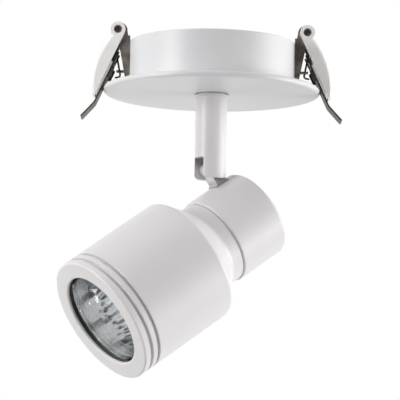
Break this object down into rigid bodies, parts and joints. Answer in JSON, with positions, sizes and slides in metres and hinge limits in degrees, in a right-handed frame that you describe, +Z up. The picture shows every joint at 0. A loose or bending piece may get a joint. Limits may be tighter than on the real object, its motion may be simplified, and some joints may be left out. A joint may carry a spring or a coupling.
{
  "type": "recessed spotlight",
  "caption": "White ceiling spotlight: a flanged drum with sprung clips, a swivel stem, a forked knuckle and a stepped barrel head with a reflector lamp.",
  "frame": {"origin": "centre of the flange, in the plane of its upper face, which meets the ceiling", "axes": "+Z up into the ceiling along the stem, X through the spring clips; at rest the lamp head points to -X, towards -Y and down"},
  "size_m": [0.1292, 0.1034, 0.1651],
  "materials": {
    "white_powder_coat": "satin white powder coat on cast aluminium",
    "white_nylon": "natural white nylon",
    "white_moulding": "moulded white plastic",
    "spring_steel": "rolled spring steel, oiled",
    "zinc_plated_steel": "bright zinc plate",
    "brass": "turned brass",
    "steatite": null,
    "mirrored_glass": "vapour-coated faceted glass",
    "clear_glass": "clear pressed glass",
    "black_silicone": "moulded silicone"
  },
  "bodies": {
    "canopy": {"ceiling_canopy": "white_powder_coat", "terminal_block": "white_moulding", "terminal_tubes": "brass", "terminal_screws": "zinc_plated_steel", "block_screw": "zinc_plated_steel", "earth_screw": "brass", "clip_bracket_left": "spring_steel", "clip_rivets_left": "zinc_plated_steel", "clip_pin_left": "zinc_plated_steel", "clip_spring_left": "spring_steel", "clip_bracket_right": "spring_steel", "clip_rivets_right": "zinc_plated_steel", "clip_pin_right": "zinc_plated_steel", "clip_spring_right": "spring_steel"},
    "stem": {"stem_tube": "white_powder_coat", "stem_nipple": "zinc_plated_steel", "stem_nut": "zinc_plated_steel", "stop_washer": "zinc_plated_steel", "spring_washer": "spring_steel", "swivel_washer": "white_nylon", "pivot_screw": "zinc_plated_steel", "knuckle_washers": "white_nylon"},
    "head": {"knuckle_tongue": "white_powder_coat", "tongue_nut": "zinc_plated_steel", "rear_housing": "white_powder_coat", "housing_screws": "zinc_plated_steel", "front_barrel": "white_powder_coat", "holder_bracket": "zinc_plated_steel", "bracket_screws": "zinc_plated_steel", "lampholder": "steatite", "holder_contacts": "brass", "lamp_base": "steatite", "lamp_pins": "zinc_plated_steel", "lamp_reflector": "mirrored_glass", "lamp_front_glass": "clear_glass", "lamp_capsule": "clear_glass"},
    "front_ring": {"front_ring": "white_powder_coat", "ring_gasket": "black_silicone"},
    "clip_arm_left": {"clip_strip_left": "spring_steel", "clip_cover_left": "white_moulding"},
    "clip_arm_right": {"clip_strip_right": "spring_steel", "clip_cover_right": "white_moulding"}
  },
  "joints": [
    {"name": "stem_swivel", "type": "hinge", "parent": "canopy", "child": "stem", "pos_m": [0, 0, 0], "axis": [0, 0, 1], "range_deg": [-165, 165]},
    {"name": "head_tilt", "type": "hinge", "parent": "stem", "child": "head", "pos_m": [0, 0, -0.0377], "axis": [0.4695, -0.8829, 0], "range_deg": [-35, 55]},
    {"name": "ring_unscrew", "type": "slide", "parent": "head", "child": "front_ring", "axis": [-0.7233, -0.3846, -0.5736], "range_m": [0, 0.03]},
    {"name": "clip_swing_left", "type": "hinge", "parent": "canopy", "child": "clip_arm_left", "pos_m": [-0.04375, 0, 0.0259], "axis": [0, 1, 0], "range_deg": [0, 150], "stiffness_Nm_per_rad": 0.04, "springref_deg": -45.84, "deforming": ["clip_spring_left"]},
    {"name": "clip_swing_right", "type": "hinge", "parent": "canopy", "child": "clip_arm_right", "pos_m": [0.04375, 0, 0.0259], "axis": [0, -1, 0], "range_deg": [0, 150], "stiffness_Nm_per_rad": 0.04, "springref_deg": -45.84, "deforming": ["clip_spring_right"]}
  ]
}
